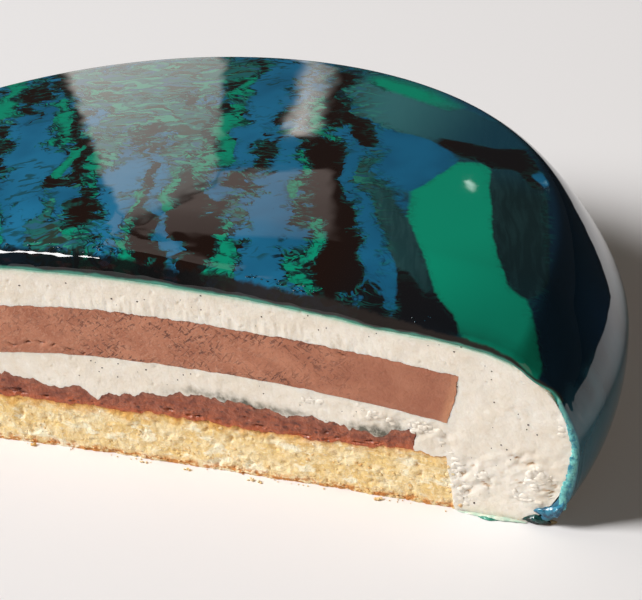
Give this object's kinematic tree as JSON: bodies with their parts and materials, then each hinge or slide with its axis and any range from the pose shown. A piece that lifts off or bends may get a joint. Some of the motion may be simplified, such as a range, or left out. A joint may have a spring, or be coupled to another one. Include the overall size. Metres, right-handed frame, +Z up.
{
  "type": "entremet cake half",
  "caption": "Half of a round mirror-glazed mousse cake, cut across to show a sponge base, a praline layer and a chocolate insert in vanilla mousse.",
  "frame": {"origin": "on the surface the cake stands on, under the middle of its bounding box", "axes": "+X along the cut, +Y from the cut face to the round back, +Z up"},
  "size_m": [0.184, 0.102, 0.0449],
  "materials": {
    "mirror_glaze": "clear, mirror-smooth gelatine glaze marbled in blue, green and dark brown",
    "vanilla_mousse": "soft, moist and matt, cream-coloured with tiny vanilla specks",
    "cremeux_insert": "dense and smooth milk-chocolate cream, satin, finely pitted by the knife",
    "praline_crunch": "rough, crumbly brown praline, slightly moist",
    "sponge_base": "open golden crumb, browned at its top and underside"
  },
  "bodies": {
    "root": {"mirror_glaze": "mirror_glaze", "vanilla_mousse": "vanilla_mousse", "cremeux_insert": "cremeux_insert", "praline_crunch": "praline_crunch", "sponge_base": "sponge_base"}
  },
  "joints": []
}
